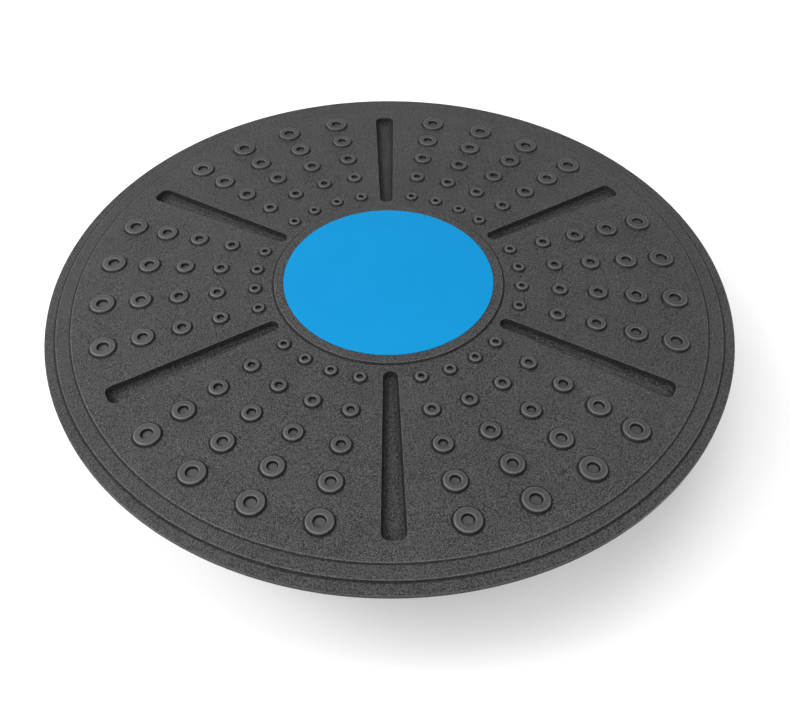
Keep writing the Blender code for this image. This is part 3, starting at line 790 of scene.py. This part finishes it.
def add_dome_inside(shell):
    inside = Relief(dome_inside_level)
    half = DOME_RIB / 2
    for across, _, _ in sphere_arc(INNER_RADIUS, INNER_FLOOR_Z, FLANGE_TOP_Z, INSIDE_LOOPS):
        inside.add(circle(across))
    inside.add(circle(FLANGE_RADIUS - FLANGE_EASE))
    add_ring_wall(inside, POST_RADIUS, POST_RADIUS + POST_WALL)
    add_ring_wall(inside, DOME_RING_RADIUS, DOME_RING_RADIUS + DOME_RIB)
    edge = math.sqrt(INNER_RADIUS ** 2 - (SPHERE_Z - DOME_RIB_Z) ** 2)
    for i in range(SECTOR_COUNT):
        add_bar(inside, POST_RADIUS + half, edge, half, (i + 0.5) * SECTOR)
        add_bar(inside, DOME_RING_RADIUS + half, edge, half, i * SECTOR)
    inside.hole(PEG_HOLE, (0.0, 0.0), HOLE_ROUND)
    add_screw_holes(inside)
    inside.add_to(shell, upward=True)


def outer_level(section):
    """The level of a section at a radius, for points between its circles."""
    def level(x, y):
        radius = math.hypot(x, y)
        for (near, low, _), (far, high, _) in zip(section, section[1:]):
            if near <= radius <= far:
                return low + (high - low) * (radius - near) / max(far - near, 1e-9)
        return section[0][1] if radius < section[0][0] else section[-1][1]
    return level


def add_dome_outside(shell):
    ledge = sphere_arc(DOME_RADIUS, STEP_Z, FLANGE_BOTTOM_Z, LEDGE_LOOPS)
    root, up, _ = ledge.pop()
    section = eased(
        sphere_arc(SHELL_RADIUS, SHELL_FLOOR_Z, STEP_Z, SHELL_LOOPS)
        + ledge
        + [(root, up, FLANGE_ROOT_EASE), (FLANGE_RADIUS - FLANGE_EASE, FLANGE_BOTTOM_Z, 0)])
    outside = Relief(outer_level(section))
    outside.rings(section)
    outside.hole(PEG_HOLE, (0.0, 0.0), HOLE_ROUND)
    add_screw_holes(outside)
    outside.add_to(shell, upward=False)


def make_dome():
    shell = Shell()
    add_dome_inside(shell)
    shell.turn(flange_edge())
    add_dome_outside(shell)
    shell.turn([(PEG_HOLE, SHELL_FLOOR_Z, 0.0), (PEG_HOLE, INNER_FLOOR_Z, 0.0)], HOLE_ROUND)
    wide = SCREW_HOLE + HOLE_CHAMFER
    for i in range(SECTOR_COUNT):
        shell.turn([
            (wide, FLANGE_BOTTOM_Z, 0.0),
            (SCREW_HOLE, FLANGE_BOTTOM_Z + HOLE_CHAMFER, 0.0),
            (SCREW_HOLE, FLANGE_TOP_Z - HOLE_CHAMFER, 0.0),
            (wide, FLANGE_TOP_Z, 0.0),
        ], HOLE_ROUND, polar(SCREW_CIRCLE, i * SECTOR))
    return shell.mesh("dome_shell")


def pad_outside():
    """Corners of the pad's sphere from its upper edge down to the foot, with rounded grooves."""
    top = math.acos((SPHERE_Z - pad_high.z) / DOME_RADIUS)
    bottom = math.asin(FOOT_RADIUS / DOME_RADIUS)
    half = PAD_GROOVE_WIDTH / 2 / DOME_RADIUS
    floor = half / 3
    stops = [(top, 0.0, PAD_EASE)]
    for i in range(PAD_GROOVES):
        middle = top + (bottom - top) * (i + 1) / (PAD_GROOVES + 1)
        before = stops[-1][0]
        stops += [(before + (middle - before) * k / 4, 0.0, 0) for k in (1, 2, 3)]
        stops += [(middle + half, 0.0, PAD_GROOVE_EASE),
                  (middle + floor, PAD_GROOVE_DEPTH, PAD_GROOVE_FLOOR_EASE),
                  (middle - floor, PAD_GROOVE_DEPTH, PAD_GROOVE_FLOOR_EASE),
                  (middle - half, 0.0, PAD_GROOVE_EASE)]
    before = stops[-1][0]
    stops += [(before + (bottom - before) * k / 4, 0.0, 0) for k in (1, 2, 3)]
    stops.append((bottom, 0.0, PAD_EASE))
    return [((DOME_RADIUS - depth) * math.sin(a), SPHERE_Z - (DOME_RADIUS - depth) * math.cos(a),
             ease) for a, depth, ease in stops]


def make_pad():
    shell = Shell()
    head_z = INNER_FLOOR_Z + GAP
    peg = [
        (0, head_z + PEG_HEAD_HEIGHT, 0),
        (PEG_RADIUS, head_z + PEG_HEAD_HEIGHT, PEG_TIP_EASE),
        (PEG_HEAD_RADIUS, head_z, PEG_HEAD_EASE),
        (PEG_RADIUS, head_z, 0),
        (PEG_RADIUS, pad_low.z + PAD_THICKNESS, 0),
    ]
    inner = sphere_arc(DOME_RADIUS - PAD_THICKNESS, PAD_THICKNESS, pad_high.z, 18)
    shell.turn(eased(peg + inner + pad_outside() + [(0, pad_low.z, 0)]))
    return shell.mesh("grip_pad")


def plus_outline(half_span, half_width):
    """Outline of a cross recess, anticlockwise."""
    arm = [(half_span, -half_width), (half_span, half_width), (half_width, half_width)]
    return [spun(p, quarter * math.pi / 2) for quarter in range(4) for p in arm]


def add_screw_head(shell):
    """The head's underside with its cross recess, seen from below."""
    flat = SCREW_HEAD_RADIUS - HEAD_EASE
    head = Relief(lambda x, y: SCREW_HEAD_Z)
    head.rings([(flat, SCREW_HEAD_Z, 0.0), (flat - HEAD_RING, SCREW_HEAD_Z, 0.0)], HOLE_ROUND)
    span, width = RECESS_SPAN / 2, RECESS_WIDTH / 2
    for inset, up in ((0.0, 0.0), (RECESS_TAPER, RECESS_DEPTH)):
        head.add(plus_outline(span - inset, width - inset), [SCREW_HEAD_Z + up] * 12)
    head.add_to(shell, upward=False)


def screw_thread():
    """Loops down the shank: a thread winds round a core that narrows to a blunt point."""
    length = SCREW_TIP_Z - SCREW_SEAT_Z
    rows = round(length / THREAD_PITCH * THREAD_ROWS)
    loops = [[(0.0, 0.0, SCREW_TIP_Z)] * HOLE_ROUND]
    for row in range(rows + 1):
        depth = length * row / rows                     # below the tip
        point = min(1.0, depth / SCREW_POINT)
        fade = min(1.0, max(0.0, (length - depth - THREAD_START) / THREAD_PITCH)) * point
        core = SCREW_TIP + (SCREW_CORE - SCREW_TIP) * point
        if depth > length - THREAD_START:
            core = SCREW_SHANK
        loop = []
        for i in range(HOLE_ROUND):
            phase = (depth / THREAD_PITCH + i / HOLE_ROUND) % 1
            crest = max(0.0, 1 - abs(phase - 0.5) / THREAD_FLANK)
            radius = core + fade * crest * (SCREW_HEAD_RADIUS / 2 - SCREW_CORE)
            loop.append((*polar(radius, 2 * math.pi * i / HOLE_ROUND), SCREW_TIP_Z - depth))
        loops.append(loop)
    return loops


def make_screw():
    shell = Shell()
    add_screw_head(shell)
    head = eased([
        (SCREW_SHANK, SCREW_SEAT_Z, 0),
        (SCREW_HEAD_RADIUS, SCREW_SEAT_Z, HEAD_SEAT_EASE),
        (SCREW_HEAD_RADIUS, SCREW_HEAD_Z, HEAD_EASE * HEAD_EASE_SHARE),
        (SCREW_HEAD_RADIUS - HEAD_EASE, SCREW_HEAD_Z, 0),
    ])
    shell.turn(head[:-1], HOLE_ROUND)
    loops = screw_thread()
    shell.bridge(loops, [(1.0, 0.0)] * len(loops))
    return shell.mesh("pan_screw")


# Materials. Sizes are in millimetres, colours are linear.

GRAIN_CELL = 0.66
GRAIN_FINE = 0.45
GRAIN_WARP_SIZE = 1.5
GRAIN_WARP = 0.5
GRAIN_DEPTH = 0.42
GRAIN_FINE_SHARE = 1.6
GRAIN_CONTRAST = 0.84
GRAIN_ROUGHNESS = 0.16
PATCH_SHARE = 0.2               # of the slow changes of tone across the deck
TONE_SHIFT = -0.03
# strength of the painted highlight and painted shade that the edge mark adds to the deck's tone
PAINTED_LIGHT_SHARE = 0.6
WEAR_ROUGHNESS = -0.1
DECK_BLACK = (0.002, 0.002, 0.002)
DECK_GREY = (0.097, 0.097, 0.098)
BLUE_DARK = (0.0026, 0.198, 0.438)
BLUE_LIGHT = (0.0030, 0.204, 0.448)
DOME_DARK = (0.024, 0.024, 0.025)
DOME_LIGHT = (0.040, 0.040, 0.042)
RUBBER_DARK = (0.017, 0.017, 0.018)
RUBBER_LIGHT = (0.030, 0.030, 0.030)
STEEL_DARK = (0.46, 0.46, 0.47)
STEEL_LIGHT = (0.62, 0.62, 0.63)


class Nodes:
    """Short ways to make and join shader nodes."""

    def __init__(self, name):
        self.material = bpy.data.materials.new(name)
        self.material.use_nodes = True
        self.tree = self.material.node_tree
        self.shader = self.tree.nodes["Principled BSDF"]
        self.place = self.new("ShaderNodeTexCoord").outputs["Object"]

    def new(self, kind, **values):
        node = self.tree.nodes.new(kind)
        for key, value in values.items():
            setattr(node, key, value)
        return node

    def link(self, source, target):
        self.tree.links.new(source, target)

    def feed(self, socket, value):
        if isinstance(value, (int, float)):
            socket.default_value = value
        else:
            self.link(value, socket)

    def math(self, operation, a, b):
        node = self.new("ShaderNodeMath", operation=operation)
        self.feed(node.inputs[0], a)
        self.feed(node.inputs[1], b)
        return node.outputs[0]

    def multiply_add(self, a, b, c):
        """a times b, plus c."""
        node = self.new("ShaderNodeMath", operation="MULTIPLY_ADD")
        for socket, value in zip(node.inputs, (a, b, c)):
            self.feed(socket, value)
        return node.outputs[0]

    def noise(self, size, detail=2.0, roughness=0.5):
        """Noise with features about this many millimetres across."""
        node = self.new("ShaderNodeTexNoise")
        node.inputs["Scale"].default_value = 1 / (size * MM)
        node.inputs["Detail"].default_value = detail
        node.inputs["Roughness"].default_value = roughness
        self.link(self.place, node.inputs["Vector"])
        return node

    def cells(self, size, feature="F1", place=None):
        node = self.new("ShaderNodeTexVoronoi", feature=feature)
        node.inputs["Scale"].default_value = 1 / (size * MM)
        self.link(place or self.place, node.inputs["Vector"])
        return node.outputs["Distance"]

    def span(self, value, low, high, to_low, to_high):
        """Map one range of values onto another, and hold its ends beyond it."""
        node = self.new("ShaderNodeMapRange")
        node.clamp = True
        for key, number in (("From Min", low), ("From Max", high), ("To Min", to_low),
                            ("To Max", to_high)):
            node.inputs[key].default_value = number
        self.link(value, node.inputs["Value"])
        return node.outputs["Result"]

    def mark(self, name):
        return self.new("ShaderNodeAttribute", attribute_name=name).outputs["Fac"]

    def blend(self, share, dark, light):
        node = self.new("ShaderNodeMix", data_type="RGBA")
        self.feed(node.inputs["Factor"], share)
        node.inputs[6].default_value = (*dark, 1.0)
        node.inputs[7].default_value = (*light, 1.0)
        return node.outputs[2]

    def bump(self, height, distance, strength=1.0):
        node = self.new("ShaderNodeBump")
        node.inputs["Distance"].default_value = distance * MM
        self.feed(node.inputs["Strength"], strength)
        self.link(height, node.inputs["Height"])
        return node.outputs["Normal"]

    def finish(self, colour, roughness, normal, **constants):
        self.link(colour, self.shader.inputs["Base Color"])
        self.link(roughness, self.shader.inputs["Roughness"])
        self.link(normal, self.shader.inputs["Normal"])
        for key, value in constants.items():
            self.shader.inputs[key.replace("_", " ")].default_value = value
        return self.material


def deck_plastic():
    """Moulded plastic with a leather grain, smoother on the nubs, with painted highlights along
    its outer edges and painted shade on its walls and in the corners at their feet.
    """
    m = Nodes("deck_plastic")
    grain = m.mark("grain")
    edge = m.mark("edge")
    warp = m.new("ShaderNodeVectorMath", operation="MULTIPLY_ADD")
    m.link(m.noise(GRAIN_WARP_SIZE, 1.0).outputs["Color"], warp.inputs[0])
    warp.inputs[1].default_value = (GRAIN_WARP * MM,) * 3
    m.link(m.place, warp.inputs[2])
    pebbles = m.cells(GRAIN_CELL, "SMOOTH_F1", warp.outputs[0])
    fine = m.noise(GRAIN_FINE, 1.0).outputs["Fac"]
    height = m.multiply_add(pebbles, -1.0, m.math("MULTIPLY", fine, GRAIN_FINE_SHARE))
    patches = m.noise(28.0, 3.0).outputs["Fac"]
    peaks = m.multiply_add(m.span(height, 0.15, 0.7, -0.5, 0.5), grain, 0.5)
    shade = m.multiply_add(patches, PATCH_SHARE, TONE_SHIFT)
    tone = m.multiply_add(peaks, GRAIN_CONTRAST, shade)
    # the grain's tone, plus painted highlights on outer edges and painted shade on walls and in
    # corners
    tone_with_painted_light = m.span(m.multiply_add(edge, PAINTED_LIGHT_SHARE, tone), 0.0, 1.1, 0.0, 1.0)
    colour = m.blend(tone_with_painted_light, DECK_BLACK, DECK_GREY)
    smooth = m.multiply_add(edge, WEAR_ROUGHNESS, m.span(patches, 0.3, 0.7, 0.31, 0.36))
    rough = m.multiply_add(grain, GRAIN_ROUGHNESS, smooth)
    normal = m.bump(height, GRAIN_DEPTH, grain)
    return m.finish(colour, rough, normal, Specular_IOR_Level=0.33)


def inlay_blue():
    m = Nodes("inlay_blue")
    patches = m.noise(18.0, 2.0).outputs["Fac"]
    fine = m.noise(0.4, 1.0).outputs["Fac"]
    colour = m.blend(m.span(patches, 0.3, 0.7, 0.0, 1.0), BLUE_DARK, BLUE_LIGHT)
    rough = m.span(patches, 0.3, 0.7, 0.50, 0.56)
    return m.finish(colour, rough, m.bump(fine, 0.02, 0.5), Specular_IOR_Level=0.08)


def dome_plastic():
    m = Nodes("dome_plastic")
    patches = m.noise(30.0, 3.0).outputs["Fac"]
    fine = m.noise(0.6, 2.0).outputs["Fac"]
    edge = m.mark("edge")
    # the edge mark paints highlights on the dome's outer roundings and shade in its inner ones
    colour = m.blend(m.multiply_add(edge, 0.3, patches), DOME_DARK, DOME_LIGHT)
    rough = m.span(patches, 0.3, 0.7, 0.42, 0.52)
    return m.finish(colour, rough, m.bump(fine, 0.05, 0.6))


def pad_rubber():
    m = Nodes("pad_rubber")
    patches = m.noise(14.0, 3.0).outputs["Fac"]
    fine = m.noise(0.5, 2.0, 0.7).outputs["Fac"]
    dust = m.math("MULTIPLY", m.noise(3.0, 4.0, 0.7).outputs["Fac"], patches)
    colour = m.blend(m.span(dust, 0.2, 0.5, 0.0, 1.0), RUBBER_DARK, RUBBER_LIGHT)
    rough = m.span(patches, 0.3, 0.7, 0.76, 0.88)
    return m.finish(colour, rough, m.bump(fine, 0.08, 0.7), Specular_IOR_Level=0.35)


def screw_steel():
    m = Nodes("screw_steel")
    patches = m.noise(1.6, 3.0).outputs["Fac"]
    scratches = m.noise(0.15, 2.0, 0.7).outputs["Fac"]
    colour = m.blend(m.span(patches, 0.3, 0.7, 0.0, 1.0), STEEL_DARK, STEEL_LIGHT)
    rough = m.span(scratches, 0.3, 0.7, 0.24, 0.42)
    return m.finish(colour, rough, m.bump(scratches, 0.01, 0.5), Metallic=1.0)


# The scene.

def add_piece(name, mesh, finish, node):
    piece = bpy.data.objects.new(name, mesh)
    bpy.context.scene.collection.objects.link(piece)
    if not mesh.materials:
        mesh.materials.append(finish)
    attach(piece, "root")
    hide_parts(node)
    return piece


def even_normals(piece):
    """Keep flats flat: a point on an eased edge takes the direction of the larger faces."""
    weigh = piece.modifiers.new("even_normals", "WEIGHTED_NORMAL")
    weigh.mode = "FACE_AREA"
    weigh.keep_sharp = True


def build_board():
    deck = add_piece("deck_moulding", make_deck(), deck_plastic(), "deck")
    even_normals(deck)
    inlay = add_piece("inlay_disc", make_inlay(), inlay_blue(), "centre_inlay")
    even_normals(inlay)
    dome = add_piece("dome_shell", make_dome(), dome_plastic(), "rocker_dome")
    even_normals(dome)
    pad = add_piece("grip_pad", make_pad(), pad_rubber(), "dome_grip_pad")
    even_normals(pad)
    screw, steel = make_screw(), screw_steel()
    screw.set_sharp_from_angle(angle=SCREW_SHARP_ANGLE)
    for i in range(SECTOR_COUNT):
        node = f"dome_screw_{i + 1}"
        low, high = box_mm(node)
        placed = screw.copy()
        centre = (low + high) / 2
        placed.transform(Matrix.Translation((centre.x * MM, centre.y * MM, 0.0)))
        add_piece(f"pan_screw_{i + 1}", placed, steel, node)


# The floor, the lights and the camera, in metres and watts. Glow: distances, then strengths.

FLOOR_REACH = 8.0
FLOOR_GAP = 0.0002              # under the board
# painted glow of the floor: none close to the board, so the shadow there stays dark, rising
# further out
GLOW_NEAR = (0.17, 0.25, 0.0, 0.21)
GLOW_FAR = (0.3, 2.0, 0.0, 0.75)
LIGHT_SIZE = 0.7
LIGHT_TARGET = Vector((0.0, 0.0, 0.05))
LIGHTS = (
    ("top", (0.0, 0.1, 1.4), 4.5),
    ("left", (-1.1, 0.0, 0.95), 10.6),
    ("near_left", (-0.5, -0.5, 0.7), 4.9),
    ("front", (0.0, -1.1, 0.95), 7.5),
    ("back_left", (-0.75, 0.75, 1.0), 3.0),
    ("right", (1.1, 0.0, 0.95), 4.4),
)
SKY_FADE = (("From Min", 0.0), ("From Max", 0.3), ("To Min", 1.0), ("To Max", 0.30))
SENSOR_WIDTH = 36.0             # millimetres, as the lens
LENS = 38.86
LENS_SHIFT = 0.021
CLIP_START, CLIP_END = 0.01, 50.0
CAMERA_PLACE = (-0.0063, -0.3351, 0.3871)
CAMERA_PITCH = math.radians(48.61)
CAMERA_HEADING = math.radians(-0.11)
CAMERA_ROLL = math.radians(-0.5)


def paper():
    """Pale paper with a painted glow, none close to the board and more further out, so that the
    shadow stays dark near the board and the paper stays white far away.
    """
    m = Nodes("paper")
    away = m.new("ShaderNodeVectorMath", operation="LENGTH")
    m.link(m.place, away.inputs[0])
    distance = away.outputs["Value"]
    glow = m.math("ADD", m.span(distance, *GLOW_NEAR), m.span(distance, *GLOW_FAR))
    m.link(glow, m.shader.inputs["Emission Strength"])
    for key, value in (("Base Color", (0.81, 0.81, 0.81, 1.0)), ("Roughness", 0.9),
                       ("Specular IOR Level", 0.1), ("Emission Color", (1.0, 1.0, 1.0, 1.0))):
        m.shader.inputs[key].default_value = value
    return m.material


def add_floor():
    bm = bmesh.new()
    bmesh.ops.create_grid(bm, x_segments=1, y_segments=1, size=FLOOR_REACH)
    mesh = bpy.data.meshes.new("floor")
    bm.to_mesh(mesh)
    bm.free()
    floor = bpy.data.objects.new("floor", mesh)
    bpy.context.scene.collection.objects.link(floor)
    floor.location.z = cad_bounds[0].z - FLOOR_GAP
    mesh.materials.append(paper())


def add_lights():
    for name, place, power in LIGHTS:
        data = bpy.data.lights.new(name, "AREA")
        data.size = LIGHT_SIZE
        data.energy = power
        light = bpy.data.objects.new(name, data)
        light.location = place
        aim = LIGHT_TARGET - Vector(place)
        light.rotation_euler = aim.to_track_quat("-Z", "Y").to_euler()
        bpy.context.scene.collection.objects.link(light)


def add_sky():
    """A white surrounding, brightest at the horizon."""
    world = bpy.data.worlds.new("studio")
    world.use_nodes = True
    tree = world.node_tree
    sky = tree.nodes["Background"]
    sky.inputs["Color"].default_value = (1.0, 1.0, 1.0, 1.0)
    direction = tree.nodes.new("ShaderNodeTexCoord").outputs["Generated"]
    parts = tree.nodes.new("ShaderNodeSeparateXYZ")
    tree.links.new(direction, parts.inputs[0])
    height = tree.nodes.new("ShaderNodeMapRange")
    for key, number in SKY_FADE:
        height.inputs[key].default_value = number
    tree.links.new(parts.outputs["Z"], height.inputs["Value"])
    tree.links.new(height.outputs["Result"], sky.inputs["Strength"])
    bpy.context.scene.world = world


def add_camera():
    """Camera at the photograph's angle, from above the board's near side."""
    data = bpy.data.cameras.new("camera")
    data.sensor_width = SENSOR_WIDTH
    data.lens = LENS
    data.shift_x = LENS_SHIFT
    data.clip_start, data.clip_end = CLIP_START, CLIP_END
    camera = bpy.data.objects.new("camera", data)
    bpy.context.scene.collection.objects.link(camera)
    turn = (Matrix.Rotation(CAMERA_HEADING, 4, "Z")
            @ Matrix.Rotation(math.pi / 2 - CAMERA_PITCH, 4, "X")
            @ Matrix.Rotation(CAMERA_ROLL, 4, "Z"))
    camera.matrix_world = Matrix.Translation(CAMERA_PLACE) @ turn
    bpy.context.scene.camera = camera


add_camera()
add_floor()
add_lights()
add_sky()
bpy.context.scene.view_settings.view_transform = "Standard"
build_board()
